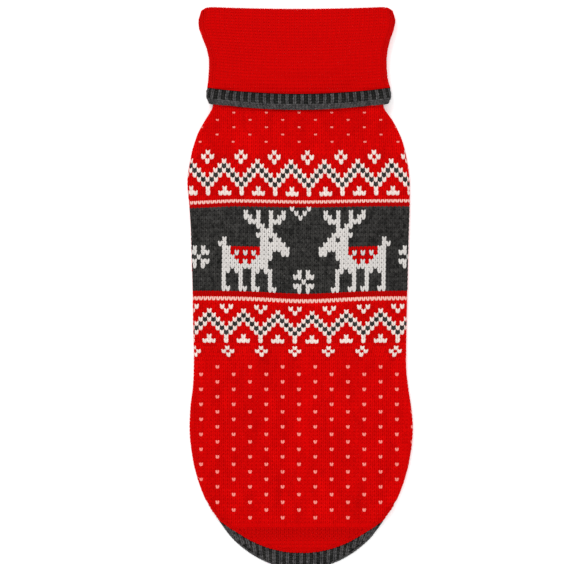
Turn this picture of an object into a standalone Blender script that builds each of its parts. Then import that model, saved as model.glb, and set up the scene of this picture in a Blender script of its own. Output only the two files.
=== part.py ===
"""Knitted turtleneck dog sweater, laid flat on its belly with the collar turned down.

Metres, +Z up. X runs across the sweater, +Y towards the collar, and z = 0 is the surface
that it lies on. The body is a pressed tube of two panels, one lying on the other, and the
collar is a rib tube that goes up from the neck, folds over and comes down outside itself.
"Along" is the distance from the corners of the collar's fold towards the tail tip.
"""

import math

import bmesh
import bpy

MM = 0.001

# ---- driving dimensions -------------------------------------------------------------------

LENGTH = 492.6 * MM             # collar fold to tail tip
WALL = 2.85 * MM                # thickness of the knit
SEAM = 0.3 * MM                 # gap between neighbouring pieces
CUT_EDGE = 0.5 * MM             # softened edge where a panel meets its binding
BINDING_EDGE = 0.8 * MM         # softened edges of the hidden bindings
ROLLED_EDGE = 1.2 * MM          # rounder edges of the bindings that show
TOP = LENGTH / 2                # Y of the collar fold's corners

NECK_SEAM = 74.4 * MM           # along, where the body meets the collar's stand
NECK_HALF = 74.3 * MM           # half the width of the tube at the neck seam
EDGE_BAND = 14.0 * MM           # width of the charcoal edge of the collar
COLLAR_HEM = 84.5 * MM          # along, lower edge of that band at the collar's sides
TURNED_END = COLLAR_HEM - EDGE_BAND     # along, where the collar's red ends
BAND_TUCK = 1.8 * MM            # the band's lower edge pulls in by this much at its sides
FOLD_CORNER = 9.0 * MM          # corner radius at the two ends of the fold
FOLD_BOW = 1.6 * MM             # how far the fold sags at its middle
HEM_BOW = 5.7 * MM              # how far the collar's lower edge sags at its middle

HIP = 365.8 * MM                # along, where the rounded tail starts
TAIL_HALF = 98.0 * MM           # half ellipse of the tail: half width
TAIL_REACH = LENGTH - HIP       # half ellipse of the tail: length
HIP_CENTRE = 1.1 * MM
RIB_HALF = 103.0 * MM           # ellipse where red meets the charcoal hem: half width
RIB_REACH = 113.3 * MM          # and length
TAIL_RIB_START = 453.8 * MM     # along, where the fine tail rib starts
HEM_TIP_START = 437.0 * MM      # along, where the charcoal hem comes out at the sides

BELLY_END = 431.4 * MM          # along, where the belly panel's two sides end
ARCH_HALF = 80.5 * MM           # arched hem of the belly: half width at BELLY_END
ARCH_REACH = 91.9 * MM          # and height
ARCH_TURN_IN = math.radians(3.5)    # the arched binding runs on past BELLY_END by this much
HEM_BAND = 14.0 * MM            # width of the belly's hem binding

LEG_ALONG = 148.0 * MM          # centre of the leg holes
LEG_APART = 46.0 * MM           # from the middle of the belly
LEG_HALF = (20.0 * MM, 26.0 * MM)   # clear leg hole, half across and half along
LEG_BAND = 10.0 * MM            # width of the leg bindings
CUT_PAST = 5.0 * MM             # cutters reach this far past what they cut

COLLAR_LIFT = 3.15 * MM         # the body rises this far, over the collar lying under it
LIFT_FROM = 91.0 * MM           # along, the lift is full up to here
LIFT_TO = 113.0 * MM            # and gone from here
DROP_FROM = 439.0 * MM          # along, where the tail starts to sink to the surface
DROP_TO = 462.0 * MM

# Faces of the collar's two layers, out from the middle of the pressed tube.
RIB_WALL = 2.8 * MM
STAND_IN = 0.2 * MM
STAND_OUT = STAND_IN + RIB_WALL
TURNED_IN = STAND_OUT + 0.4 * MM
TURNED_OUT = TURNED_IN + RIB_WALL
COLLAR_MID = TURNED_OUT         # the turned layer's lower face rests at z = 0

# Side outline of the turned-down collar and of the body: one row for each station.
# Columns: along, half width, middle (the sweater lies slightly askew), all in millimetres.
COLLAR_STATIONS = (
    (0.0, 86.4, -2.6),
    (13.0, 86.6, -2.7),
    (21.0, 85.2, -3.0),
    (29.0, 81.9, -2.9),
    (37.6, 79.2, -2.3),
    (46.4, 77.9, -1.9),
    (62.0, 78.7, -1.8),
    (70.6, 81.4, -1.1),
    (80.0, 81.8, -1.0),
)
BODY_STATIONS = (
    (74.4, 74.3, -1.6),
    (88.0, 75.2, -1.7),
    (98.9, 82.0, -1.1),
    (109.4, 87.9, -1.2),
    (119.9, 91.9, -1.1),
    (130.4, 94.5, -1.2),
    (151.4, 97.5, -1.3),
    (172.4, 96.8, -0.5),
    (203.9, 95.4, -0.1),
    (287.9, 93.5, 0.0),
    (314.0, 93.2, 0.1),
    (331.0, 94.3, 0.4),
    (348.0, 96.7, 0.7),
    (365.8, 98.0, 1.1),
)

LIFT_SECTIONS = 12              # sections of a panel over the lift, over its length, and
PANEL_SECTIONS = 50             # of the back where it sinks to the surface
DROP_SECTIONS = 10
EDGE_STEPS = 4                  # facets of a panel's rounded side
COLLAR_COLUMNS = 12             # facets across one face of the collar
COLLAR_END_STEPS = 6            # facets round each side of the collar
COLLAR_ROWS = 9                 # facets down each face of the collar's layers
FOLD_STEPS = 6
ARC_STEPS = 28                  # sections of a curved binding
TAIL_RIB_SECTIONS = 16
TAIL_RIB_TIP = math.radians(4)  # the rib's last section, short of its ellipse's end

CREASE_ANGLE = math.radians(35)

# name: base colour, roughness
YARNS = {
    "red_knit": ((0.61, 0.002, 0.002), 0.9),
    "red_rib": ((0.56, 0.002, 0.002), 0.9),
    "charcoal_rib": ((0.036, 0.034, 0.036), 0.95),
}


# ---- small helpers ------------------------------------------------------------------------

def clear_scene():
    for thing in list(bpy.data.objects):
        bpy.data.objects.remove(thing)


def yarn(name):
    """Principled material for one yarn."""
    material = bpy.data.materials.get(name)
    if material is None:
        colour, roughness = YARNS[name]
        material = bpy.data.materials.new(name)
        material.use_nodes = True
        shader = material.node_tree.nodes["Principled BSDF"]
        shader.inputs["Base Color"].default_value = (*colour, 1.0)
        shader.inputs["Roughness"].default_value = roughness
        shader.inputs["Metallic"].default_value = 0.0
    return material


def ease(value, start, end):
    """0 before start, 1 after end, smooth between."""
    t = min(1.0, max(0.0, (value - start) / (end - start)))
    return t * t * (3 - 2 * t)


def read_stations(stations, along):
    """Half width and middle at `along`, in metres, on a smooth curve through the stations."""
    at = min(max(along / MM, stations[0][0]), stations[-1][0])
    last = len(stations) - 1
    i = max(k for k in range(last) if stations[k][0] <= at)
    before, here, after, beyond = (stations[min(max(i + k, 0), last)] for k in (-1, 0, 1, 2))
    step = after[0] - here[0]
    t = (at - here[0]) / step
    out = []
    for column in (1, 2):
        slope_in = (after[column] - before[column]) / (after[0] - before[0])
        slope_out = (beyond[column] - here[column]) / (beyond[0] - here[0])
        value = (
            here[column] * (1 + 2 * t) * (1 - t) ** 2
            + after[column] * t * t * (3 - 2 * t)
            + step * slope_in * t * (1 - t) ** 2
            - step * slope_out * t * t * (1 - t)
        )
        out.append(value * MM)
    return out


def ellipse_half(along, half, reach):
    """Half width, at `along`, of an ellipse centred on the hips."""
    t = min(1.0, max(0.0, (along - HIP) / reach))
    return half * math.sqrt(1 - t * t)


def outline(along):
    """Half width and middle of the sweater's silhouette below the neck."""
    if along >= HIP:
        return ellipse_half(along, TAIL_HALF, TAIL_REACH), HIP_CENTRE
    return read_stations(BODY_STATIONS, along)


def neck_lift(along):
    return COLLAR_LIFT * (1 - ease(along, LIFT_FROM, LIFT_TO))


def back_base(along):
    """Height of the back layer's lower face."""
    resting = (WALL + SEAM) * (1 - ease(along, DROP_FROM, DROP_TO))
    return resting + neck_lift(along)


def make_object(name, bm, material):
    """Finish a closed bmesh as a named object with outward faces."""
    bmesh.ops.recalc_face_normals(bm, faces=bm.faces)
    mesh = bpy.data.meshes.new(name)
    bm.to_mesh(mesh)
    bm.free()
    mesh.shade_smooth()
    mesh.set_sharp_from_angle(angle=CREASE_ANGLE)
    mesh.materials.append(yarn(material))
    made = bpy.data.objects.new(name, mesh)
    bpy.context.scene.collection.objects.link(made)
    return made


def loft(name, rings, material, closed=False):
    """Skin a row of equal point rings; capped at both ends unless the row is closed."""
    bm = bmesh.new()
    rows = [[bm.verts.new(point) for point in ring] for ring in rings]
    count = len(rows[0])
    for i in range(len(rows) if closed else len(rows) - 1):
        row, following = rows[i], rows[(i + 1) % len(rows)]
        for k in range(count):
            after = (k + 1) % count
            bm.faces.new((row[k], row[after], following[after], following[k]))
    if not closed:
        bm.faces.new(rows[0])
        bm.faces.new(rows[-1])
    return make_object(name, bm, material)


def spaced(start, end, count):
    return [start + (end - start) * i / (count - 1) for i in range(count)]


def rounded_strip(width, thick, corner):
    """Closed section of a binding: (across from 0 to width, height from 0 to thick)."""
    points = []
    corners = (
        (corner, corner, 180),
        (width - corner, corner, 270),
        (width - corner, thick - corner, 0),
        (corner, thick - corner, 90),
    )
    for across, up, start in corners:
        for turn in (0, 45, 90):
            angle = math.radians(start + turn)
            points.append((across + corner * math.cos(angle), up + corner * math.sin(angle)))
    return points


# ---- body ---------------------------------------------------------------------------------

def panel_ring(along, half, middle, base, edge, round_top):
    """Section of a panel: flat on both faces, its sides rounded at the outer face."""
    y = TOP - along
    turns = [math.pi / 2 * i / EDGE_STEPS for i in range(EDGE_STEPS + 1)]
    outer = []
    for turn in turns:
        outer.append((half - edge * (1 - math.cos(turn)), WALL - edge * (1 - math.sin(turn))))
    side = [(half, 0.0)] + outer
    if not round_top:
        side = [(x, WALL - z) for x, z in side]
    right = [(middle + x, y, base + z) for x, z in side]
    left = [(middle - x, y, base + z) for x, z in reversed(side)]
    return right + left


def shared_sections():
    """Where both panels have their sections, from the neck seam to the belly's end."""
    lifted = spaced(NECK_SEAM + SEAM / 2, LIFT_TO, LIFT_SECTIONS)
    return lifted + spaced(LIFT_TO, BELLY_END, PANEL_SECTIONS)[1:]


def back_half(along):
    """The back follows the silhouette, then the charcoal hem's inner edge."""
    half, middle = outline(along)
    if along > HIP:
        half = min(half, ellipse_half(along, RIB_HALF - SEAM, RIB_REACH - SEAM))
    return half, middle


def back_panel():
    rings = []
    tail_end = TAIL_RIB_START - SEAM / 2
    for along in shared_sections() + spaced(BELLY_END, tail_end, DROP_SECTIONS)[1:]:
        half, middle = back_half(along)
        edge = WALL - (WALL - CUT_EDGE) * ease(along, BELLY_END, HEM_TIP_START)
        rings.append(panel_ring(along, half, middle, back_base(along), edge, True))
    return loft("back_panel", rings, "red_knit")


def tail_rib():
    """Fine rib between the back and the charcoal hem, its end following the hem's curve."""
    half_width, reach = RIB_HALF - SEAM, RIB_REACH - SEAM
    first = math.acos((TAIL_RIB_START + SEAM / 2 - HIP) / reach)
    rings = []
    for turn in spaced(first, TAIL_RIB_TIP, TAIL_RIB_SECTIONS):
        along = HIP + reach * math.cos(turn)
        half = half_width * math.sin(turn)
        rings.append(panel_ring(along, half, HIP_CENTRE, back_base(along), CUT_EDGE, True))
    return loft("tail_rib", rings, "red_rib")


def hem_band_back():
    """Crescent between the red ellipse and the silhouette's ellipse."""
    inner_start = math.acos((HEM_TIP_START - HIP) / RIB_REACH)
    outer_start = math.acos((HEM_TIP_START - HIP) / TAIL_REACH)
    rings = []
    for t in spaced(-1.0, 1.0, ARC_STEPS + 1):
        inner = (RIB_HALF * math.sin(inner_start * t), RIB_REACH * math.cos(inner_start * t))
        outer = (TAIL_HALF * math.sin(outer_start * t), TAIL_REACH * math.cos(outer_start * t))
        width = math.dist(inner, outer)
        ring = []
        for across, up in rounded_strip(width, WALL, min(ROLLED_EDGE, width / 3)):
            share = across / width
            x = inner[0] + (outer[0] - inner[0]) * share
            along = HIP + inner[1] + (outer[1] - inner[1]) * share
            ring.append((HIP_CENTRE + x, TOP - along, back_base(along) + up))
        rings.append(ring)
    return loft("hem_band_back", rings, "charcoal_rib")


def prism(name, loop, low, high):
    """Upright cutter with the given (x, y) outline."""
    bm = bmesh.new()
    base = bm.faces.new([bm.verts.new((x, y, low)) for x, y in loop])
    moved = bmesh.ops.extrude_face_region(bm, geom=[base])["geom"]
    risen = [v for v in moved if isinstance(v, bmesh.types.BMVert)]
    bmesh.ops.translate(bm, verts=risen, vec=(0, 0, high - low))
    cutter = make_object(name, bm, "red_knit")
    cutter.hide_render = True
    cutter.display_type = "WIRE"
    return cutter


def leg_centre(side):
    middle = read_stations(BODY_STATIONS, LEG_ALONG)[1]
    return middle + side * LEG_APART, TOP - LEG_ALONG


def arch_turns():
    return spaced(-ARCH_TURN_IN, math.pi + ARCH_TURN_IN, ARC_STEPS + 1)


def belly_panel():
    rings = []
    for along in shared_sections():
        half, middle = outline(along)
        rings.append(panel_ring(along, half, middle, neck_lift(along), WALL, False))
    panel = loft("belly_panel", rings, "red_knit")

    loops = []
    for side in (-1, 1):
        cx, cy = leg_centre(side)
        across, down = (LEG_HALF[0] + LEG_BAND + SEAM, LEG_HALF[1] + LEG_BAND + SEAM)
        turns = [2 * math.pi * i / ARC_STEPS for i in range(ARC_STEPS)]
        loops.append([(cx + across * math.cos(a), cy + down * math.sin(a)) for a in turns])
    arch = [
        (HIP_CENTRE + ARCH_HALF * math.cos(a), TOP - BELLY_END + ARCH_REACH * math.sin(a))
        for a in arch_turns()
    ]
    below = arch[0][1] - CUT_PAST
    arch += [(HIP_CENTRE - ARCH_HALF, below), (HIP_CENTRE + ARCH_HALF, below)]
    loops.append(arch)
    for i, loop in enumerate(loops):
        cut = panel.modifiers.new(f"opening_{i}", "BOOLEAN")
        cut.operation = "DIFFERENCE"
        cut.solver = "EXACT"
        cut.object = prism(f"cutter_{i}", loop, -CUT_PAST, WALL + CUT_PAST)
    return panel


def hem_band_belly():
    """Binding inside the belly's arched hem, ending beside the tips of the tail's crescent."""
    rings = []
    for turn in arch_turns():
        ring = []
        for across, up in rounded_strip(HEM_BAND, WALL, BINDING_EDGE):
            inset = SEAM + across
            x = HIP_CENTRE + (ARCH_HALF - inset) * math.cos(turn)
            y = TOP - BELLY_END + (ARCH_REACH - inset) * math.sin(turn)
            ring.append((x, y, up))
        rings.append(ring)
    return loft("hem_band_belly", rings, "charcoal_rib")


def leg_band(side, name):
    cx, cy = leg_centre(side)
    rings = []
    for i in range(ARC_STEPS):
        turn = 2 * math.pi * i / ARC_STEPS
        ring = []
        for across, up in rounded_strip(LEG_BAND, WALL, BINDING_EDGE):
            x = cx + (LEG_HALF[0] + across) * math.cos(turn)
            y = cy + (LEG_HALF[1] + across) * math.sin(turn)
            ring.append((x, y, up))
        rings.append(ring)
    return loft(name, rings, "charcoal_rib", closed=True)


# ---- collar -------------------------------------------------------------------------------


def collar_half(along, out):
    """Half width and middle of the collar at a distance `out` from its mid-plane."""
    half, middle = read_stations(COLLAR_STATIONS, along)
    if along < FOLD_CORNER:
        half -= FOLD_CORNER - math.sqrt(FOLD_CORNER ** 2 - (FOLD_CORNER - along) ** 2)
    half -= TURNED_OUT - out
    if out <= STAND_OUT:
        slim = ease(along, FOLD_CORNER, NECK_SEAM)
        half += (NECK_HALF - STAND_OUT + out - half) * slim
    return half, middle


def collar_ring(along, out, bow):
    """Pressed-flat ring of the collar's tube: two faces with a round side at each end."""
    half, middle = collar_half(along, out)
    flat = half - out
    points = []
    for side in (1, -1):
        for i in range(COLLAR_COLUMNS):
            points.append((side * flat * (2 * i / COLLAR_COLUMNS - 1), side * out))
        for i in range(COLLAR_END_STEPS):
            turn = math.pi * i / COLLAR_END_STEPS
            x = side * (flat + out * math.sin(turn))
            points.append((x, side * out * math.cos(turn)))
    ring = []
    for x, z in points:
        sag = bow * (1 - (x / half) ** 2)
        ring.append((middle + x, TOP - along - sag, COLLAR_MID + z))
    return ring


def turned_bow(along):
    return FOLD_BOW + (HEM_BOW - FOLD_BOW) * ease(along, 0.0, COLLAR_HEM)


def stand_bow(along):
    return FOLD_BOW * (1 - ease(along, 0.0, NECK_SEAM))


def collar():
    """Stand, fold and turned-down layer: one closed profile carried round the neck."""
    fold = (TURNED_OUT - STAND_IN) / 2          # radius of the fold's outer face
    crease = (TURNED_IN - STAND_OUT) / 2        # and of its inner face
    fold_out = STAND_IN + fold
    stand_end = NECK_SEAM - SEAM / 2
    turned_end = TURNED_END - SEAM / 2
    profile = [(a, STAND_IN, stand_bow(a)) for a in spaced(stand_end, fold, COLLAR_ROWS)]
    for i in range(1, FOLD_STEPS):
        turn = math.pi * i / FOLD_STEPS
        along = fold * (1 - math.sin(turn))
        profile.append((along, fold_out - fold * math.cos(turn), turned_bow(along)))
    profile += [(a, TURNED_OUT, turned_bow(a)) for a in spaced(fold, turned_end, COLLAR_ROWS)]
    profile += [(a, TURNED_IN, turned_bow(a)) for a in spaced(turned_end, fold, COLLAR_ROWS)]
    profile.append((fold - crease, fold_out, turned_bow(fold)))
    profile += [(a, STAND_OUT, stand_bow(a)) for a in spaced(fold, stand_end, COLLAR_ROWS)]
    rings = [collar_ring(*row) for row in profile]
    return loft("collar", rings, "red_rib", closed=True)


def collar_edge_band():
    """Charcoal edge below the turned-down layer, with rolled edges."""
    start = TURNED_END + SEAM / 2
    rings = []
    half, middle = collar_half(start, TURNED_OUT)
    for across, up in rounded_strip(EDGE_BAND, RIB_WALL, ROLLED_EDGE):
        squeeze = 1 - BAND_TUCK / half * (across / EDGE_BAND) ** 3
        ring = collar_ring(start, TURNED_IN + up, HEM_BOW)
        rings.append([(middle + (x - middle) * squeeze, y - across, z) for x, y, z in ring])
    return loft("collar_edge_band", rings, "charcoal_rib", closed=True)


def build():
    clear_scene()
    back_panel()
    tail_rib()
    hem_band_back()
    belly_panel()
    hem_band_belly()
    leg_band(-1, "leg_band_left")
    leg_band(1, "leg_band_right")
    collar()
    collar_edge_band()


build()
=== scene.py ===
"""Looks of the knitted turtleneck dog sweater that lies flat with its collar turned down.

Millimetres until a mesh is written, +Z up, +Y towards the collar, z = 0 under the sweater.
Each CAD solid is replaced by a thin cloth on its form, and every stitch is two plump legs of
yarn lying on that cloth. Where the cloth lies is read from the CAD solids.
"""

import math
from dataclasses import dataclass

import bmesh
import bpy
import numpy as np
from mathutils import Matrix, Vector


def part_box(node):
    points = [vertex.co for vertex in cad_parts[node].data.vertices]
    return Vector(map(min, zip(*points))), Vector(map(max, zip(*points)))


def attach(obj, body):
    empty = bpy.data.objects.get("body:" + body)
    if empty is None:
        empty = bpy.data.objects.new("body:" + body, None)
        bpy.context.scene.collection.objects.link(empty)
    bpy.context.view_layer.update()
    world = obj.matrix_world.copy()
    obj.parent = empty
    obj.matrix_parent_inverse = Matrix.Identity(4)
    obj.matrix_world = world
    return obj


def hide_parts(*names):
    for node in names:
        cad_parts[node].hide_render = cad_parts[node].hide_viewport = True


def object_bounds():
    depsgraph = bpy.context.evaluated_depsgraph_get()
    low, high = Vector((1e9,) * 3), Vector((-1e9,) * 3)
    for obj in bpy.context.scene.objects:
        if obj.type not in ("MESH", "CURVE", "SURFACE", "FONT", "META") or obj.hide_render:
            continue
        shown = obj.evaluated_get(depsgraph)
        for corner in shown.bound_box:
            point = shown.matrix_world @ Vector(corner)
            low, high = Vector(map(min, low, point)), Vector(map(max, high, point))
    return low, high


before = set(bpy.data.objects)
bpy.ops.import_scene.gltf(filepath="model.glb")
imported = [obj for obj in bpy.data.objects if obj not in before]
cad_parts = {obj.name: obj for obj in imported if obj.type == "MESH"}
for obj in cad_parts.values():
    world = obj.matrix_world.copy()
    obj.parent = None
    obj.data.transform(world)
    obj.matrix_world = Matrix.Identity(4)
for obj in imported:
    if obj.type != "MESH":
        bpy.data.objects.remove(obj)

CAD_BOX = [list(corner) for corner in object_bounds()]
MM = 0.001
random = np.random.default_rng(24)

X, Y, Z = 0, 1, 2

# ---- sizes of the knitting ----------------------------------------------------------------

SIDE_RADIUS = 3.0           # the pressed tube turns round at its sides with this radius
CREST_RADIUS = 3.0          # and the collar folds over with this one
SEAM = 0.3                  # gap between neighbouring pieces
INSET = 0.6                 # the cloth under the stitches lies this far inside the CAD form

SIDE_INSET = 0.4            # and this far inside its sides
FIRST_WALE = -0.6           # across, middle of wale 0
TOP = CAD_BOX[1][Y] / MM    # Y of the corners of the collar's fold
CHARCOAL_ROWS = (24, 42)    # first and last row of the charcoal band

# Where the rows lie at the sides. Columns: row, distance along from the fold's corners.
ROWS = np.array((
    (-6, 72.9),
    (8, 117.5),
    (11, 127.2),
    (20, 163.0),
    (24, 175.9),
    (42, 246.2),
    (44, 254.7),
    (54, 292.2),
    (58, 304.4),
    (61, 314.7),
    (93, 419.7),
    (104, 456.9),
    (120, 509.3),
))

# How wide the wales are. Columns: along, wale width.
WALES = np.array((
    (106.0, 3.57),
    (142.0, 3.68),
    (247.8, 3.68),
    (256.0, 3.75),
    (292.0, 3.75),
    (310.0, 3.57),
))

# The knit isn't quite straight. Columns: row, how far the rows sag over the middle, and how
# far the wales lean to the right.
UNEVEN = np.array((
    (0, 0.0, -0.2),
    (8, 0.0, -0.2),
    (13, 1.0, 0.0),
    (15, 1.0, 0.3),
    (20, 1.1, 1.1),
    (26, 1.1, 1.0),
    (38, 2.2, 0.2),
    (42, 2.6, 0.1),
    (46, 2.6, 0.0),
    (58, 0.0, -0.3),
))
SAG_MIDDLE = 4.4            # across
SAG_REACH = 40.0
LEFT_DROP = 1.8             # the upper cream line is lower by this much at the far left
LEFT_DROP_FROM = -58.0
LEFT_DROP_OVER = 36.0
LEFT_DROP_ROWS = (20, 22, 24, 30)

TAIL_RIB_ROW = 104          # first row of the fine rib at the tail
WALE_RANGE = range(-29, 30)
ROW_RANGE = range(-4, 112)


# ---- reading the CAD solids ---------------------------------------------------------------

def edge_ends(names):
    """Both ends of every edge of these CAD solids."""
    starts, ends = [], []
    for name in names:
        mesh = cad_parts[name].data
        points = np.empty(len(mesh.vertices) * 3)
        mesh.vertices.foreach_get("co", points)
        points = points.reshape(-1, 3) / MM
        pairs = np.empty(len(mesh.edges) * 2, np.int32)
        mesh.edges.foreach_get("vertices", pairs)
        pairs = pairs.reshape(-1, 2)
        starts.append(points[pairs[:, 0]])
        ends.append(points[pairs[:, 1]])
    return np.vstack(starts), np.vstack(ends)


class Outline:
    """How far CAD solids reach, section by section along one axis."""

    def __init__(self, names, axis, step=1.0, end_gap=0.02):
        starts, ends = edge_ends(names)
        first = min(starts[:, axis].min(), ends[:, axis].min()) + end_gap
        last = max(starts[:, axis].max(), ends[:, axis].max()) - end_gap
        levels, lows, highs = [], [], []
        for level in np.linspace(first, last, int((last - first) / step) + 2):
            meets = (starts[:, axis] - level) * (ends[:, axis] - level) < 0
            if not meets.any():
                continue
            run = ends[meets] - starts[meets]
            share = (level - starts[meets, axis]) / run[:, axis]
            points = starts[meets] + share[:, None] * run
            levels.append(level)
            lows.append(points.min(0))
            highs.append(points.max(0))
        self.levels = np.array(levels)
        self.lows = np.array(lows)
        self.highs = np.array(highs)

    def low(self, level, axis):
        return np.interp(level, self.levels, self.lows[:, axis])

    def high(self, level, axis):
        return np.interp(level, self.levels, self.highs[:, axis])


BACK = ["back_panel", "tail_rib", "hem_band_back"]
body_sides = Outline(BACK, Y)
belly_sides = Outline(["belly_panel"], Y)
red_end = Outline(["back_panel", "tail_rib"], X)
hem_end = Outline(["hem_band_back"], X)
belly_end = Outline(["belly_panel"], X)
collar_sides = Outline(["collar"], Y)
collar_ends = Outline(["collar"], X)
turned_sides = Outline(["collar", "collar_edge_band"], Y)
edge_sides = Outline(["collar_edge_band"], Y)
edge_ends_at = Outline(["collar_edge_band"], X)


# ---- faces of the cloth: from a flat place and a height to a point ----------------------------

def ease(value, start, end):
    share = np.clip((value - start) / (end - start), 0, 1)
    return share * share * (3 - 2 * share)


def turned_under(across, left, right, radius):
    """The place where the cloth starts to turn round its side, and the turn past it."""
    start = np.clip(across, left + radius, right - radius)
    return start, (across - start) / radius


def stacked(x, y, z):
    return np.stack(np.broadcast_arrays(x, y, z), axis=-1)


def back_face(across, y, height):
    """The upper side of the body."""
    top = body_sides.high(y, Z)
    radius = np.minimum(SIDE_RADIUS, top)
    start, turn = turned_under(
        across, body_sides.low(y, X), body_sides.high(y, X), radius)
    out = radius + height
    return stacked(start + out * np.sin(turn), y, top - radius + out * np.cos(turn))


def belly_face(across, y, height):
    """The under side of the body."""
    start, turn = turned_under(
        across, belly_sides.low(y, X), belly_sides.high(y, X), SIDE_RADIUS)
    out = SIDE_RADIUS + height
    bottom = belly_sides.low(y, Z)
    z = bottom + SIDE_RADIUS - out * np.cos(turn)
    return stacked(start + out * np.sin(turn), y, z)


COLLAR_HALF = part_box("collar")[1].z / MM / 2        # half the pressed collar's thickness
FOLD_OUT = COLLAR_HALF - CREST_RADIUS               # middle of the fold, out from the collar's
FOLD_RUN = CREST_RADIUS * math.pi / 2               # cloth from the crest to the flat
SIDE_RUN = COLLAR_HALF * (math.pi / 2 - 1)          # cloth that each side's turn adds
COLLAR_REACH = 90.0                                 # across, from the middle to a side's turn
CORNER = 10.0                                       # the fold's corners are within this
FOLD_CORNERS = collar_sides.levels[-1] - CORNER
EDGE_WIDEST = edge_sides.levels[np.argmax(edge_sides.highs[:, X] - edge_sides.lows[:, X])]
MIDDLE_FLAT = collar_ends.high(0.0, Y) - CREST_RADIUS - edge_ends_at.high(0.0, Y) - SEAM
TURNED_RUN = FOLD_RUN + MIDDLE_FLAT                 # cloth from the crest to the edge's seam

EDGE_BAND = edge_ends_at.high(0.0, Y) - edge_ends_at.low(0.0, Y)
EDGE_ROLL = 1.4             # roundness of the charcoal edge's lower side
EDGE_SUNK = 0.3             # beside its seam it lies this much lower,
EDGE_RISES = (3.0, 9.0)     # and less and less from here to here below the seam
EDGE_TUCK = 0.035           # share by which its lower rim pulls in,
TUCK_POWER = 8              # nearly all of it close to the rim
TURNED_SHARE = 0.9          # about how far across a place lies, as a share of its cloth
END_CORNER = 1.0            # roundness of the corner between its lower side and its end
WAIST = 0.014               # share by which the collar's sides pull in above the edge
WAIST_AT = (EDGE_WIDEST + 3.5, 4.0)                 # middle and half height
FLARE = 0.016               # and by which they stand out round the edge's lower half
FLARE_AT = (EDGE_WIDEST - 8.5, 5.0)


def stitched_out(y):
    """How much wider the collar's sides stand at y than the solid's."""
    waist = np.exp(-((y - WAIST_AT[0]) / WAIST_AT[1]) ** 2)
    flare = np.exp(-((y - FLARE_AT[0]) / FLARE_AT[1]) ** 2)
    return 1 - WAIST * waist + FLARE * flare


def round_the_collar(share, y):
    """Where a share of the collar's half way round lies at y: start and turn of its side."""
    y = np.clip(y, EDGE_WIDEST, FOLD_CORNERS)
    left = turned_sides.low(y, X)
    right = turned_sides.high(y, X)
    around = (left + right) / 2 + share * ((right - left) / 2 + SIDE_RUN)
    return turned_under(around, left, right, COLLAR_HALF)


def collar_face(across, down, height, under=False):
    """The turned collar. down is cloth from the fold's crest, less than 0 inside the fold."""
    share = across / COLLAR_REACH
    angle = np.clip(down / CREST_RADIUS, -math.pi / 2, math.pi / 2)
    past = np.maximum(np.abs(down) - FOLD_RUN, 0)
    y = TOP - past
    for _ in range(4):      # each round brings y closer to where that much cloth ends
        start, turn = round_the_collar(share, y)
        x = start + COLLAR_HALF * np.sin(turn)
        flat_from = collar_ends.high(x, Y) - CREST_RADIUS
        flat_to = edge_ends_at.high(x, Y) + SEAM
        y = flat_from - past / MIDDLE_FLAT * (flat_from - flat_to)
        y = y + (CREST_RADIUS + height) * np.cos(angle)
    out = FOLD_OUT + (CREST_RADIUS + height) * np.sin(angle)
    z = COLLAR_HALF + (-out if under else out) * np.cos(turn)
    return stacked((start + out * np.sin(turn)) * stitched_out(y), y, z)


def edge_pulled_in(down):
    """How much narrower the edge is, this far down from its seam."""
    return 1 - EDGE_TUCK * np.clip(down / EDGE_BAND, 0, 1) ** TUCK_POWER


def edge_face(across, down, height, under=False):
    """The charcoal edge of the collar, from its seam down to its rolled lower edge, and on
    over its end, which faces the tail."""
    share = across / COLLAR_REACH
    on_end = np.maximum(down - EDGE_BAND, 0)
    faces_tail = ease(on_end, 0.0, END_CORNER)
    down = np.minimum(down, EDGE_BAND)
    y = edge_ends_at.high(across * TURNED_SHARE, Y) - down
    for _ in range(3):
        start, turn = round_the_collar(share, y)
        x = start + (COLLAR_HALF - on_end) * np.sin(turn)
        seam = edge_ends_at.high(x, Y)
        y = seam - down / EDGE_BAND * (seam - edge_ends_at.low(x, Y))
    rolled = np.maximum(down - (EDGE_BAND - EDGE_ROLL), 0)
    fall = EDGE_ROLL - np.sqrt(np.maximum(EDGE_ROLL ** 2 - rolled ** 2, 0))
    out = COLLAR_HALF - fall - on_end - EDGE_SUNK * (1 - ease(down, *EDGE_RISES))
    out = out + height * (1 - faces_tail)
    z = COLLAR_HALF + (-out if under else out) * np.cos(turn)
    pulled_in = np.where(on_end > 0, 1.0, edge_pulled_in(down))
    x = (start + out * np.sin(turn)) * pulled_in * stitched_out(y)
    return stacked(x, y - height * faces_tail, z)


def rim_fall(inside, radius):
    """How far a rounded rim falls, this far inside the edge."""
    short = np.clip(radius - inside, 0, radius)
    return radius - np.sqrt(radius ** 2 - short ** 2)


HEM_RIM = 1.6               # roundness of the hem's outer edge
HEM_TIPS = (66.0, 73.0)     # red knit covers the tips, from here to here from the middle
TIP_COVERED = 2.45          # to this far inside the outer edge
SEAM_LIFT = 1.7             # in the middle the charcoal reaches this far over the red solid,
LIFT_ENDS = (54.0, 66.0)    # and less and less at the sides
hem_left, hem_right = (corner.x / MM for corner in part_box("hem_band_back"))
hem_centre = (hem_left + hem_right) / 2
hem_reach = (hem_right - hem_left) / 2
HEM_ROUND = 60.0            # the hem goes round a place this far up from it
hem_middle = red_end.low(hem_centre, Y) + HEM_ROUND


def hem_rim(across):
    """Y of the hem's outer edge, and how much longer the edge is than it is across."""
    slope = (hem_end.low(across + 1, Y) - hem_end.low(across - 1, Y)) / 2
    return hem_end.low(across, Y), np.sqrt(1 + slope ** 2)


def seam_lift(across):
    """How far the charcoal reaches over the red solid."""
    return SEAM_LIFT * (1 - ease(np.abs(across - hem_centre), *LIFT_ENDS))


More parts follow.
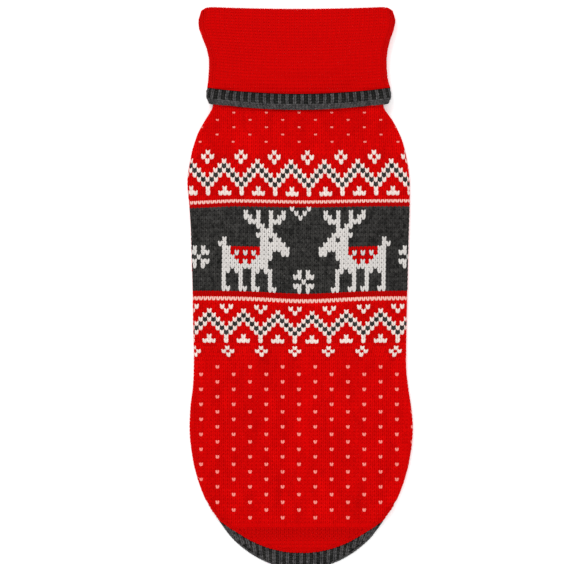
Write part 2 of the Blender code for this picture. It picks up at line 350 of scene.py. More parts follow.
def hem_seam(across):
    """Y of the line where the red knit ends on the crescent."""
    rim, steep = hem_rim(across)
    red = red_end.low(across, Y) + seam_lift(across)
    cover = ease(np.abs(across - hem_centre), *HEM_TIPS)
    return red + (np.minimum(red, rim + TIP_COVERED * steep) - red) * cover


def hem_face(across, y, height):
    """The upper side of the charcoal crescent at the tail."""
    rim, steep = hem_rim(across)
    inside = (y - rim) / steep
    z = body_sides.high(y, Z) - rim_fall(inside, HEM_RIM) + height
    return stacked(across, y, np.maximum(z, 0.0))


def table_face(across, y, height):
    """The under side of what lies flat on the table."""
    return stacked(across, y, -height)


# ---- one stitch -----------------------------------------------------------------------------

@dataclass
class Form:
    """Shape of a stitch's two legs, in shares of the wale width and row height."""
    foot: float = 0.08      # from the middle out to the leg's lower end
    head: float = 0.32      # and to its upper end
    below: float = 0.68     # lower end below the stitch's middle
    above: float = 0.62     # upper end above it
    fat: float = 0.275      # half the leg's width
    thick: float = 0.6      # half its thickness, in mm
    dip: float = 0.26       # how far its ends dive into the cloth, in mm
    bow: float = 0.04       # how far the leg bows outwards
    rings: tuple = (0.12, 0.42, 0.72, 0.92)     # where along it its rings of corners lie
    fullness: tuple = (0.6, 0.95, 1, 0.78)      # and how wide each is
    sides: int = 5

    def layout(self):
        """Of one leg's vertices: share of the length, and the offset aside and up."""
        turns = np.arange(self.sides) * 2 * math.pi / self.sides + math.pi / 2
        share = np.concatenate(([0], np.repeat(self.rings, self.sides), [1]))
        full = np.repeat(self.fullness, self.sides)
        aside = np.tile(np.cos(turns), len(self.rings)) * full
        up = np.tile(np.sin(turns), len(self.rings)) * full
        return share, np.pad(aside, 1), np.pad(up, 1)

    def faces(self):
        """The leg's quads and end triangles, as vertex numbers."""
        n = self.sides
        last = len(self.rings) * n + 1
        quads, triangles = [], []
        for i in range(len(self.rings) - 1):
            for j in range(n):
                k = (j + 1) % n
                corners = (i * n + j, i * n + k, i * n + n + k, i * n + n + j)
                quads.append([1 + c for c in corners])
        for j in range(n):
            k = (j + 1) % n
            triangles.append((0, 1 + k, 1 + j))
            triangles.append((last, last - n + j, last - n + k))
        return quads + triangles


SHORT_RINGS = {"rings": (0.16, 0.52, 0.86), "fullness": (0.65, 1, 0.78)}
RIB_SHAPE = {"foot": 0.13, "head": 0.25, "fat": 0.29, "thick": 0.34, "dip": 0.08, "bow": 0.02,
             **SHORT_RINGS}
BAND_SHAPE = {"foot": 0.14, "head": 0.26, "fat": 0.24, "thick": 0.9, "dip": 0.15, **SHORT_RINGS}
PLAIN = Form()
TALL = Form(above=0.8, head=0.33)
BESIDE_ZIGZAG = Form(above=0.82, head=0.36, fat=0.335)
ZIGZAG = Form(below=0.7, above=0.74, foot=0.11, head=0.35, fat=0.335)
LINE = Form(below=0.6, above=0.5, fat=0.23, **SHORT_RINGS)
SPECK = Form(foot=0.07, head=0.29, below=0.62, above=0.46, fat=0.235, thick=0.55, **SHORT_RINGS)
SMALL_SPECK = Form(foot=0.06, head=0.22, below=0.45, above=0.15, fat=0.18, thick=0.55,
                   **SHORT_RINGS)
BELLY = Form(sides=4, **SHORT_RINGS)
RIB = Form(**RIB_SHAPE)
UNDER_RIB = Form(sides=4, **RIB_SHAPE)
BAND_RIB = Form(bow=0.02, **BAND_SHAPE)
UNDER_BAND_RIB = Form(sides=4, **BAND_SHAPE)
PURL = Form(foot=0.25, head=0.25, below=0.5, above=0.5, fat=0.21, thick=0.5, dip=0.3, bow=0.0,
            sides=4, **SHORT_RINGS)


class Places:
    """Stitches on a flat face: the middle of each, one row down and one wale across."""

    def __init__(self, middle, down, side, drop=0.0):
        self.middle = np.asarray(middle, float)
        self.down = np.asarray(down, float)
        self.side = np.asarray(side, float)
        self.drop = np.broadcast_to(np.asarray(drop, float), len(self.middle))

    def picked(self, wanted):
        return Places(
            self.middle[wanted], self.down[wanted], self.side[wanted], self.drop[wanted])


def joined(parts):
    """The stitches of all parts as one."""
    return Places(*(
        np.concatenate([getattr(part, of) for part in parts])
        for of in ("middle", "down", "side", "drop")))


def placed(name, data):
    """A new object with this data, in the scene."""
    made = bpy.data.objects.new(name, data)
    bpy.context.scene.collection.objects.link(made)
    return made


def mesh_object(name, vertices, loops, sizes):
    """A new object from arrays: points in mm, corners and how many corners a face has."""
    mesh = bpy.data.meshes.new(name)
    mesh.vertices.add(len(vertices))
    mesh.vertices.foreach_set("co", (vertices * MM).astype(np.float32).ravel())
    mesh.loops.add(len(loops))
    mesh.loops.foreach_set("vertex_index", loops.astype(np.int32))
    mesh.polygons.add(len(sizes))
    starts = np.concatenate(([0], np.cumsum(sizes)[:-1]))
    mesh.polygons.foreach_set("loop_start", starts.astype(np.int32))
    mesh.update(calc_edges=True)
    mesh.shade_smooth()
    return placed(name, mesh)


UNEVEN_ASIDE = 0.012        # how unevenly stitches lie, in wales,
UNEVEN_SIZE = 0.03          # how uneven their legs are in size,
UNEVEN_TONE = 0.18          # and in tone
UNDERSIDE_STRIP = 0.08      # share of the bake map's width kept for the legs' lower sides
STRIP_GAP = 0.01            # and left free beside them


def beside(run):
    """Unit vectors at a right angle to each run."""
    return np.stack((-run[:, 1], run[:, 0]), 1) / np.linalg.norm(run, axis=1, keepdims=True)


def lay_map(mesh, name, u, v):
    """A UV map of the mesh that holds these places of its corners."""
    places = np.stack((u, v), -1).astype(np.float32).ravel()
    mesh.uv_layers.new(name=name).uv.foreach_set("vector", places)


def knit(name, face, places, form, under=False):
    """Both legs of every stitch, as closed tubes lying on a face of the cloth."""
    count = len(places.middle)
    hand = np.repeat([-1.0, 1.0], count)[:, None]
    both = joined([places, places])
    width = np.linalg.norm(both.side, axis=1)
    middle = both.middle + both.side * random.normal(0, UNEVEN_ASIDE, (2 * count, 1))
    foot = middle + hand * form.foot * both.side + form.below * both.down
    head = middle + hand * form.head * both.side - form.above * both.down
    run = head - foot
    length = np.linalg.norm(run, axis=1)
    fat = form.fat * width * random.normal(1, UNEVEN_SIZE, 2 * count)
    high = form.thick * random.normal(1, UNEVEN_SIZE, 2 * count)
    share, out, up = form.layout()
    flat = foot[:, None] + run[:, None] * share[None, :, None]
    flat = flat + beside(run)[:, None] * (fat[:, None] * out)[..., None]
    bow = form.bow * np.sin(math.pi * share)
    flat = flat + (hand * both.side)[:, None] * bow[None, :, None]
    dive = form.dip * (2 * share - 1) ** 2
    height = high[:, None] * (up - 1) - dive - both.drop[:, None]
    points = face(flat[..., 0], flat[..., 1], height)

    faces = form.faces()
    sizes = np.array([len(corners) for corners in faces])
    corners = np.array([c for f in faces for c in (reversed(f) if under else f)])
    per_leg = len(share)
    loops = (np.arange(2 * count)[:, None] * per_leg + corners).ravel()
    piece = mesh_object(name, points.reshape(-1, 3), loops, np.tile(sizes, 2 * count))
    mesh = piece.data

    tone = mesh.attributes.new("tone", "FLOAT", "POINT")
    tones = np.clip(random.normal(0.5, UNEVEN_TONE, 2 * count), 0, 1)
    tone.data.foreach_set("value", np.repeat(tones, per_leg).astype(np.float32))

    low = flat.reshape(-1, 2).min(0)
    span = flat.reshape(-1, 2).max(0) - low
    spread = ((flat - low) / span)[:, corners].reshape(2 * count, -1, 2)
    face_of_corner = np.repeat(np.arange(len(sizes)), sizes)
    mean_up = np.bincount(face_of_corner, up[corners]) / sizes
    is_low = (mean_up < 0)[face_of_corner]
    u = np.where(is_low, 1 - UNDERSIDE_STRIP * spread[..., 0],
                 (1 - UNDERSIDE_STRIP - STRIP_GAP) * spread[..., 0])
    lay_map(mesh, "OFBake", u, spread[..., 1])

    ring = (corners - 1) % form.sides
    wraps = (ring == 0) & np.isin(face_of_corner, faces_past_the_seam(faces, form))
    around = np.where(wraps, 1.0, ring / form.sides)
    along = share[corners] * length[:, None]
    lay_map(mesh, "Yarn", along, np.broadcast_to(around, along.shape))
    return piece


def faces_past_the_seam(faces, form):
    """Numbers of the faces that close a leg's round, between its last side and its first."""
    last = form.sides - 1
    return [
        number for number, corners in enumerate(faces)
        if {0, last} <= {(corner - 1) % form.sides for corner in corners}]


# ---- the body's rows and wales, and its pattern ---------------------------------------------

def window(value, starts, full, ends, gone):
    return ease(value, starts, full) * (1 - ease(value, ends, gone))


def body_spot(wale, row):
    """Flat place of a wale and row of the body."""
    along = np.interp(row, ROWS[:, 0], ROWS[:, 1])
    across = FIRST_WALE + wale * np.interp(along, WALES[:, 0], WALES[:, 1])
    across = across + np.interp(row, UNEVEN[:, 0], UNEVEN[:, 2])
    sag = np.interp(row, UNEVEN[:, 0], UNEVEN[:, 1])
    sag = sag * np.exp(-((across - SAG_MIDDLE) / SAG_REACH) ** 2)
    left = LEFT_DROP * np.clip((LEFT_DROP_FROM - across) / LEFT_DROP_OVER, 0, 1)
    sag = sag + left * window(row, *LEFT_DROP_ROWS)
    return np.stack((across, TOP - along - sag), axis=-1)


def places_on_grid(spot, wale, row):
    """Stitches at these wales and rows, as a function gives their flat places."""
    return Places(
        spot(wale, row),
        spot(wale, row + 0.5) - spot(wale, row - 0.5),
        spot(wale + 0.5, row) - spot(wale - 0.5, row))


REPEAT = 8              # wales in one repeat of every border
HALF = REPEAT // 2
BORDER_FOOT = 6         # rows from a zigzag's peaks down to the tips below its valleys
CREAM_LINES = (22, 44)  # rows knitted in cream from side to side
SHOULDER_SPECKS = (0, 8)                        # first and last row
HIP_SPECKS = (61, 101)
NO_SPECK = ((24, 95), (-20, 101), (20, 101))    # wale and row, at the edges
UPPER_BORDER = (9, 20)
UPPER_PEAKS = (14, -2)                          # row of the zigzag's peaks, and a peak's wale
UPPER_DIAMONDS = (11, 2)                        # row of their tops, and a middle's wale
LOWER_BORDER = (46, 58)
LOWER_PEAKS = (48, 3)
LOWER_DIAMONDS = (56, -1)

SNOWFLAKE = (
    ".C.C.",
    "CC.CC",
    "..C..",
    "CC.CC",
    ".C.C.",
)

TICK = (
    "C...C",
    ".C.C.",
    "..C..",
)

REINDEER = (
    "......C..C..C..C.",
    "......CC.C..C.CC.",
    ".......CCC..CCC..",
    ".........CC.C....",
    "..........CCC....",
    ".........CCCCC...",
    ".C........CC.CC..",
    "CC........CCCCCC.",
    ".CCRRRRRRRCCCCCCC",
    ".CCRCRCRCRCCC..CC",
    ".CCCRRRRRCCCC....",
    ".CCCCRCRCCCC.....",
    ".CCCCCCCCCCC.....",
    ".CC.CC..CC.CC....",
    ".C...C..C...C....",
    ".C...C..C...C....",
    ".C...C..C...C....",
    ".CC..CC.CC..CC...",
)

YARN_OF = {"C": "cream", "R": "red"}
MIDDLE_WALE = 1             # the charcoal band's figures stand mirrored about this wale


def charted():
    """Yarn of each stitch of the charcoal band's figures, by wale and row."""
    stitches = {}

    def place(chart, wale, row, mirrored=False):
        for down, line in enumerate(chart):
            for over, letter in enumerate(line):
                if letter in YARN_OF:
                    at = 2 * MIDDLE_WALE - wale - over if mirrored else wale + over
                    stitches[at, row + down] = YARN_OF[letter]

    place(REINDEER, -19, 25)
    place(REINDEER, -19, 25, mirrored=True)
    place(TICK, -2, 24)
    place(SNOWFLAKE, MIDDLE_WALE - 2, 38)
    place(SNOWFLAKE, -26, 33)
    place(SNOWFLAKE, 24, 33)
    return stitches


FIGURES = charted()


def from_peak(wale, peak):
    """Wales to the nearest peak, where peaks repeat."""
    offset = (wale - peak) % REPEAT
    return min(offset, REPEAT - offset)


def border(wale, row, peaks_row, peak):
    """Yarn of a border's charcoal zigzag edged in cream and of what hangs from it, or None."""
    out = from_peak(wale, peak)
    below_line = row - peaks_row - out
    if below_line == 0:
        return "charcoal"
    above_foot = peaks_row + BORDER_FOOT - row
    tip_of_valley = out == HALF and above_foot == 0
    triangle = above_foot in (0, 1) and out <= 1 - above_foot
    return "cream" if abs(below_line) == 1 or tip_of_valley or triangle else None


def diamond(wale, row, top, middle):
    out = from_peak(wale, middle)
    return out == 0 and row in (top, top + 2) or out == 1 and row == top + 1


def tick(wale, row):
    """The small ticks between the lower cream line and its border, one above each diamond."""
    below = row - LOWER_BORDER[0]
    return below in (0, 1) and from_peak(wale, LOWER_DIAMONDS[1]) == 1 - below


def yarn_at(wale, row):
    """Which yarn makes this stitch of the back."""
    if CHARCOAL_ROWS[0] <= row <= CHARCOAL_ROWS[1]:
        return FIGURES.get((wale, row), "charcoal")
    if row in CREAM_LINES:
        return "line"
    if UPPER_BORDER[0] <= row <= UPPER_BORDER[1]:
        cream = diamond(wale, row, *UPPER_DIAMONDS)
        return border(wale, row, *UPPER_PEAKS) or ("cream" if cream else "red")
    if LOWER_BORDER[0] <= row <= LOWER_BORDER[1]:
        cream = tick(wale, row) or diamond(wale, row, *LOWER_DIAMONDS)
        return border(wale, row, *LOWER_PEAKS) or ("cream" if cream else "red")
    for first, last in (SHOULDER_SPECKS, HIP_SPECKS):
        down = row - first
        if first <= row <= last and down % 2 == 0 and (wale, row) not in NO_SPECK:
            in_odd_row = (down // 2 + (first == HIP_SPECKS[0])) % 2
            return "speck" if wale % REPEAT == HALF * in_odd_row else "red"
    return "red"


# ---- shader nodes ---------------------------------------------------------------------------

def maths(operation, reflected=False):
    """A method of Socket that makes a Math node."""
    def method(self, *others):
        values = (*others, self) if reflected else (self, *others)
        made = self.shader.node("Math", {"operation": operation}, dict(enumerate(values)))
        return made["Value"]
    return method


class Socket:
    """A node's output, on which Python's operators build Math nodes."""

    def __init__(self, shader, output):
        self.shader = shader
        self.output = output

    __add__ = __radd__ = maths("ADD")
    __sub__ = maths("SUBTRACT")
    __rsub__ = maths("SUBTRACT", reflected=True)
    __mul__ = __rmul__ = maths("MULTIPLY")
    __truediv__ = maths("DIVIDE")
    __rtruediv__ = maths("DIVIDE", reflected=True)
    __lt__ = maths("LESS_THAN")
    __gt__ = maths("GREATER_THAN")
    sine = maths("SINE")
    exponent = maths("EXPONENT")


class Shader:
    """The node tree of one material."""

    def __init__(self, name):
        self.material = bpy.data.materials.new(name)
        self.material.use_nodes = True
        self.tree = self.material.node_tree
        self.surface = self.tree.nodes["Principled BSDF"]

    def fill(self, target, value):
        if isinstance(value, Socket):
            self.tree.links.new(value.output, target)
        else:
            target.default_value = value

    def node(self, kind, settings=None, values=None):
        """A new node of this type, with its settings and its sockets filled, as its outputs."""
        made = self.tree.nodes.new("ShaderNode" + kind)
        for key, value in (settings or {}).items():
            setattr(made, key, value)
        for key, value in (values or {}).items():
            self.fill(made.inputs[key], value)
        return {output.name: Socket(self, output) for output in made.outputs if output.enabled}

    def mix(self, share, first, second):
        settings = {"data_type": "RGBA", "clamp_factor": True}
        return self.node("Mix", settings, {0: share, 6: first, 7: second})["Result"]

    def places(self, *scales):
        """The piece's own coordinates in metres, times these."""
        own = self.node("TexCoord")["Object"]
        settings = {"operation": "MULTIPLY"}
        return self.node("VectorMath", settings, {0: own, 1: scales})["Vector"]

    def noise(self, vector, scale, detail=2.0):
        values = {"Vector": vector, "Scale": scale, "Detail": detail}
        return self.node("TexNoise", None, values)["Fac"]

    def bump(self, height, distance, strength):
        values = {"Height": height, "Distance": distance, "Strength": strength}
        return self.node("Bump", None, values)["Normal"]

    def finish(self, **sockets):
        for key, value in sockets.items():
            self.fill(self.surface.inputs[key.replace("_", " ")], value)
        return self.material


PLY_TURN = 1.7              # length of yarn in which its plies turn half way round
CLOUDS = 60.0               # how fine each unevenness of the yarn is, per metre
STREAKS = 95.0
STREAKED_ALONG = 0.3        # streaks are longer along the wales by this share
HEATHER = 260.0
FLECKS = 900.0
FIBRES = 1500.0
BLOTCHES = 700.0            # and that of the cloth
BY_STITCH = 0.5             # how much each lightens the yarn, from its dark tone to its light
BY_CLOUD = 0.3
BY_FIBRE = 0.4
# the plies' twist darkens the colour in their grooves and lightens it on their crests: painted
# shade
BY_PAINTED_TWIST_SHADE = 0.16
ALL_DARKER = 0.1
FLECK_EDGE = 8.0            # how sharp the flecks' edges are
TWIST_HEIGHT = 0.6          # height of the plies' twist, where a fibre's is 1
CLOTH_WALE = 3.6
CLOTH_ROW = 3.3
SAGLESS_WALE = 25.0         # a wale at the sides, where the rows sag no more


def yarn_finish(name, wool, fleck=None, flecks=0.2, sheen=(0.02, (0.8, 0.02, 0.02)), mottled=0.0,
                streaked=0.0):
    """Spun yarn: two plies twisted together, uneven in tone from stitch to stitch. It may be
    flecked, mottled from fleck to fleck, or streaked along the wales. The plies' twist is
    painted into its colour: painted shade in the grooves between them, lighter on their crests."""
    shader = Shader(name)
    dark, light = wool
    tone = shader.node("Attribute", {"attribute_name": "tone"})["Fac"]
    own = shader.places(1, 1, 1)
    cloudy = shader.noise(own, CLOUDS)
    heather = shader.noise(own, HEATHER, detail=1.0)
    streaks = shader.noise(shader.places(1, STREAKED_ALONG, 1), STREAKS)
    fibres = shader.noise(own, FIBRES, detail=3.0)
    strand = shader.node("SeparateXYZ", None,
                         {0: shader.node("UVMap", {"uv_map": "Yarn"})["UV"]})
    twist = (strand["X"] * (2 * math.pi / PLY_TURN) + strand["Y"] * (4 * math.pi)).sine()
    share = tone * BY_STITCH + cloudy * BY_CLOUD + fibres * BY_FIBRE + heather * mottled
    # painted shade of the plies' twist
    share = share + twist * BY_PAINTED_TWIST_SHADE + streaks * streaked
    share = share - (ALL_DARKER + (mottled + streaked) / 2)
    colour = shader.mix(share, (*dark, 1), (*light, 1))
    specks = (shader.noise(own, FLECKS, detail=1.0) - (1 - flecks)) * FLECK_EDGE
    colour = shader.mix(specks, colour, (*(fleck or light), 1))
    height = twist * TWIST_HEIGHT + fibres
    return shader.finish(
        Base_Color=colour,
        Roughness=0.92,
        Specular_IOR_Level=0.03,
        Sheen_Weight=sheen[0],
        Sheen_Roughness=0.5,
        Sheen_Tint=(*sheen[1], 1),
        Normal=shader.bump(height, distance=0.0002, strength=0.8))


def cloth_finish(name, tone, other_tone, patterned=False):
    """The knit seen between the stitches and from inside: rows of small bumps."""
    shader = Shader(name)
    own = shader.node("SeparateXYZ", None, {0: shader.places(1 / MM, 1 / MM, 1 / MM)})
    x, y = own["X"], own["Y"]
    blotch = shader.noise(shader.places(1, 1, 1), BLOTCHES)
    shade = shader.mix(blotch, (*tone, 1), (*other_tone, 1))
    if patterned:
        upper = float(body_spot(0.0, CHARCOAL_ROWS[0] - 0.5)[1])
        lower = float(body_spot(SAGLESS_WALE, CHARCOAL_ROWS[1] + 0.5)[1])
        off = (x - SAG_MIDDLE) / SAG_REACH
        sag = (off * off * -1).exponent() * float(UNEVEN[-2, 1])
        band = (y < upper) * (y + sag > lower)
        shade = shader.mix(band, shade, (*CHARCOAL_WOOL[0], 1))
    bumps = (x * (2 * math.pi / CLOTH_WALE)).sine() + (y * (2 * math.pi / CLOTH_ROW)).sine()
    return shader.finish(
        Base_Color=shade,
        Roughness=0.95,
        Specular_IOR_Level=0.02,
        Normal=shader.bump(bumps, distance=0.0003, strength=0.5))


# Dark and light tone of each wool.
RED_WOOL = ((0.53, 0.0006, 0.0005), (0.75, 0.0014, 0.0012))
RIB_WOOL = ((0.51, 0.0006, 0.0005), (0.585, 0.0012, 0.0010))
# darker copy of the red yarn: painted shade, on red stitches beside a border's motif and in the
# charcoal band
SHADED_WOOL = ((0.45, 0.0006, 0.0005), (0.64, 0.0012, 0.0010))
# darker copy of the red yarn: painted deep shade, on the red rows beside the charcoal band and on
# red stitches with cream all round
PAINTED_DEEP_SHADE_WOOL = ((0.38, 0.0006, 0.0005), (0.50, 0.0012, 0.0010))
CREAM_WOOL = ((0.58, 0.555, 0.535), (0.76, 0.725, 0.695))
BORDER_WOOL = ((0.66, 0.54, 0.49), (0.99, 0.86, 0.79))
BLUSH_WOOL = ((0.84, 0.47, 0.40), (0.98, 0.66, 0.58))
SPECK_WOOL = ((0.92, 0.24, 0.20), (0.99, 0.36, 0.31))
CHARCOAL_WOOL = ((0.010, 0.010, 0.0095), (0.056, 0.054, 0.051))
BAND_WOOL = ((0.026, 0.025, 0.026), (0.110, 0.106, 0.106))
CHARCOAL_FLECK = (0.115, 0.112, 0.108)
BAND_FLECK = (0.19, 0.185, 0.185)

# What lies between the stitches.
RED_BETWEEN = (0.48, 0.0005, 0.0005)
RIB_BETWEEN = (0.68, 0.0012, 0.0010)
CHARCOAL_BETWEEN = (0.010, 0.010, 0.010)

WHITE_SHEEN = (0.05, (1, 1, 1))
BLUSH_SHEEN = (0.05, (1, 0.8, 0.8))
GREY_SHEEN = (0.02, (0.6, 0.6, 0.6))
finishes = {
    "red": yarn_finish("red_wool", RED_WOOL, streaked=1.3),
    "red_rib": yarn_finish("red_rib_wool", RIB_WOOL),
    "shaded_red": yarn_finish("red_wool_painted_shade_by_motifs", SHADED_WOOL, streaked=1.0),
    # painted deep shade
    "painted_deep_shade_red": yarn_finish("painted_deep_shade_red_wool", PAINTED_DEEP_SHADE_WOOL),
    "cream": yarn_finish("cream_wool", CREAM_WOOL, sheen=WHITE_SHEEN),
    "border": yarn_finish("cream_wool_in_borders", BORDER_WOOL, sheen=WHITE_SHEEN),
    "line": yarn_finish("cream_wool_in_lines", BLUSH_WOOL, CREAM_WOOL[1], sheen=BLUSH_SHEEN),
    "speck": yarn_finish("cream_wool_in_specks", SPECK_WOOL, sheen=BLUSH_SHEEN),
    "charcoal": yarn_finish("charcoal_wool", CHARCOAL_WOOL, CHARCOAL_FLECK, 0.36, GREY_SHEEN, 1.6),
    "band": yarn_finish("charcoal_band_wool", BAND_WOOL, BAND_FLECK, 0.38, GREY_SHEEN, 1.4),
    "red_cloth": cloth_finish("red_cloth", RED_BETWEEN, RED_WOOL[0]),
    "red_rib_cloth": cloth_finish("red_rib_cloth", RIB_BETWEEN, RIB_WOOL[0]),
    "patterned_cloth": cloth_finish("patterned_cloth", RED_BETWEEN, RED_WOOL[0], True),
    "charcoal_cloth": cloth_finish("charcoal_cloth", CHARCOAL_BETWEEN, CHARCOAL_WOOL[0]),
}


# ---- the cloths under the stitches ----------------------------------------------------------

REACH_OUT = 0.45                    # cloths reach out to their neighbours by this
COLLAR_INSET = 0.25                 # fine rib stands less above its cloth
BAND_INSET = 0.7
BAND_END_INSET = 0.1
BAND_SUNK = 1.5                     # the charcoal bands' ribs stand higher above their cloth
HEM_RIM_INSET = 1.0                 # the hem's cloth ends this far inside its outer edge
HEM_SEAM_INSET = -0.25              # and meets the red cloth at its inner one
HEM_TIP_TUCK = 3.2                  # its tips are tucked this far under the red knit
HEM_TUCKED_AT = (71.0, 79.0)        # from the middle
THIN_HEM_INSET = 0.35               # where it is thin, its rim's inset is this share of it
SHARP = math.radians(50)
tail_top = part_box("tail_rib")[1].y / MM
TAIL_SHORTEST = 1.0         # at the sides the tail's rib counts as at least this long


def inside_by(across, along, up, tailward=None):
    """A shift of a cloth's vertex from the CAD form: inwards by this across, along and up,
    and by tailward where the form faces the tail. Less than 0 reaches out to a neighbour."""
    def shift(vertex):
        faces_tail = tailward is not None and vertex.normal.y < 0
        return -Vector((across, tailward if faces_tail else along, up)) * vertex.normal
    return shift


in_body = inside_by(SIDE_INSET, -REACH_OUT, INSET)
in_collar = inside_by(SIDE_INSET, SIDE_INSET, COLLAR_INSET, tailward=-REACH_OUT)
in_tail = inside_by(SIDE_INSET, -REACH_OUT, COLLAR_INSET)
in_band = inside_by(BAND_INSET, BAND_END_INSET, BAND_SUNK)
in_edge = inside_by(BAND_INSET, -REACH_OUT, BAND_SUNK, tailward=BAND_END_INSET)


def hem_shift(vertex):
    """The hem's cloth meets the lifted seam, and its tips are tucked under the red knit."""
    x, y, _ = vertex.co / MM
    width = max(red_end.low(x, Y) - hem_end.low(x, Y), 0.0)
    towards_middle = Vector((-x, hem_middle - y, 0.0)).normalized()
    if vertex.normal.dot(towards_middle) < 0:
        flat = min(HEM_RIM_INSET, THIN_HEM_INSET * width)
    else:
        flat = HEM_SEAM_INSET - seam_lift(x)
    tuck = HEM_TIP_TUCK * float(ease(abs(x - hem_centre), *HEM_TUCKED_AT))
    return inside_by(flat, flat, BAND_SUNK)(vertex) + towards_middle * tuck


def collar_shift(vertex):
    """The collar's cloth stands out at its sides as its knit does."""
    x, y, _ = vertex.co / MM
    shift = in_collar(vertex)
    shift.x += x * (stitched_out(y) - 1)
    return shift


def edge_shift(vertex):
    """The cloth of the collar's edge does too, and pulls in towards its lower rim."""
    x, y, _ = vertex.co / MM
    shift = in_edge(vertex)
    shift.x += x * (edge_pulled_in(edge_ends_at.high(x, Y) - y) * stitched_out(y) - 1)
    return shift


def tail_shift(vertex):
    """The tail's cloth is shorter, as its knit ends at the lifted seam."""
    x, y, _ = vertex.co / MM
    shift = in_tail(vertex)
    length = max(tail_top - red_end.low(x, Y), TAIL_SHORTEST)
    shift.y += seam_lift(x) * min((tail_top - y) / length, 1.0)
    return shift


def cloth(name, node, finish, shift=in_body):
    """A thin cloth on the form of a CAD solid that stands for it. shift moves each vertex."""
    shape = bmesh.new()
    shape.from_mesh(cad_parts[node].data)
    bmesh.ops.remove_doubles(shape, verts=shape.verts, dist=1e-6)
    shape.normal_update()
    shifts = [shift(vertex) * MM for vertex in shape.verts]
    for vertex, by in zip(shape.verts, shifts):
        vertex.co += by
    mesh = bpy.data.meshes.new(name)
    shape.to_mesh(mesh)
    shape.free()
    mesh.shade_smooth()
    mesh.set_sharp_from_angle(angle=SHARP)
    mesh.materials.append(finishes[finish])
    piece = placed(name, mesh)
    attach(piece, "root")
    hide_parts(node)
    return piece


def knitted(name, face, places, form, finish, under=False):
    """A knitted piece in its yarn, which rides on the sweater."""
    piece = knit(name, face, places, form, under)
    piece.data.materials.append(finishes[finish])
    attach(piece, "root")
    return piece


back_cloth = cloth("back_cloth", "back_panel", "patterned_cloth")
belly_cloth = cloth("belly_cloth", "belly_panel", "red_cloth")
tail_cloth = cloth("tail_cloth", "tail_rib", "red_rib_cloth", tail_shift)
collar_cloth = cloth("collar_cloth", "collar", "red_rib_cloth", collar_shift)
edge_cloth, hem_cloth, belly_hem_cloth, left_leg_cloth, right_leg_cloth = (
    cloth(name, node, "charcoal_cloth", shift)
    for name, node, shift in (
        ("collar_edge_cloth", "collar_edge_band", edge_shift),
        ("hem_cloth", "hem_band_back", hem_shift),
        ("belly_hem_cloth", "hem_band_belly", in_band),
        ("left_leg_cloth", "leg_band_left", in_band),
        ("right_leg_cloth", "leg_band_right", in_band),
    ))


# ---- stitches of the body -------------------------------------------------------------------

LAST_TURN = 1.45            # the last stitch before the side seam, as a turn in radians
SEAM_CLEAR = 1.2            # stitches keep their middles this far from a seam
TAIL_RIB_DIP = 0.08         # the row above the tail's rib is this much lower
CREAM_DIP = 0.1             # and the cream beside a zigzag lies this much below it
ENCLOSED_DROP = 0.3         # a red stitch with cream all round lies this much lower
SHOULDERS_END = 30          # the red knit is split into pieces from these rows on
HIPS_END = 76
BELLY_FRONT_ENDS = 40


def on_body(places, sides):
    """Which stitches lie on this side of the pressed tube."""
    y = places.middle[:, 1]
    _, turn = turned_under(places.middle[:, 0], sides.low(y, X), sides.high(y, X), SIDE_RADIUS)
    return np.abs(turn) < LAST_TURN


def corners_of(node):
    """The lowest and highest corner of a node in the plan."""
    return (np.array(corner)[:2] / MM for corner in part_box(node))


def outside_leg(places, node):
    """Which stitches lie outside a leg hole's band."""
    low, high = corners_of(node)
    offset = (places.middle - (low + high) / 2) / ((high - low) / 2 + SEAM_CLEAR)
    return (offset ** 2).sum(1) > 1


wales, rows = (grid.ravel().astype(float) for grid in np.meshgrid(WALE_RANGE, ROW_RANGE))
body_places = places_on_grid(body_spot, wales, rows)
body_across, body_y = body_places.middle.T
yarns = np.array([yarn_at(int(w), int(r)) for w, r in zip(wales, rows)])
flat_knit = rows < TAIL_RIB_ROW
charcoal_band = (rows >= CHARCOAL_ROWS[0]) & (rows <= CHARCOAL_ROWS[1])
beside_band = (rows == CHARCOAL_ROWS[0] - 1) | (rows == CHARCOAL_ROWS[1] + 1)
on_back = on_body(body_places, body_sides) & (body_y > hem_seam(body_across) + SEAM_CLEAR)

# How many of a stitch's four neighbours are in a border's motif.
motif = ((yarns == "cream") | (yarns == "charcoal")) & ~charcoal_band
around = np.pad(motif.reshape(len(ROW_RANGE), -1).astype(int), 1)
by_motif = (around[:-2, 1:-1] + around[2:, 1:-1] + around[1:-1, :-2] + around[1:-1, 2:]).ravel()
enclosed = (yarns == "red") & (by_motif == 4)
# red stitches beside the charcoal band, and red ones with cream all round, take the darkest red:
# painted deep shade
in_painted_deep_shade = beside_band | enclosed
# the other red stitches beside a motif, and those in the charcoal band, take a darker red: painted
# shade
bright = ~in_painted_deep_shade & (by_motif == 0) & ~charcoal_band
shoulders = rows < SHOULDERS_END
rump = rows >= HIPS_END
body_places.drop = (
    np.where(rows == TAIL_RIB_ROW - 1, TAIL_RIB_DIP, 0.0)
    + np.where((yarns == "cream") & ~charcoal_band, CREAM_DIP, 0.0)
    + np.where(enclosed, ENCLOSED_DROP, 0.0))

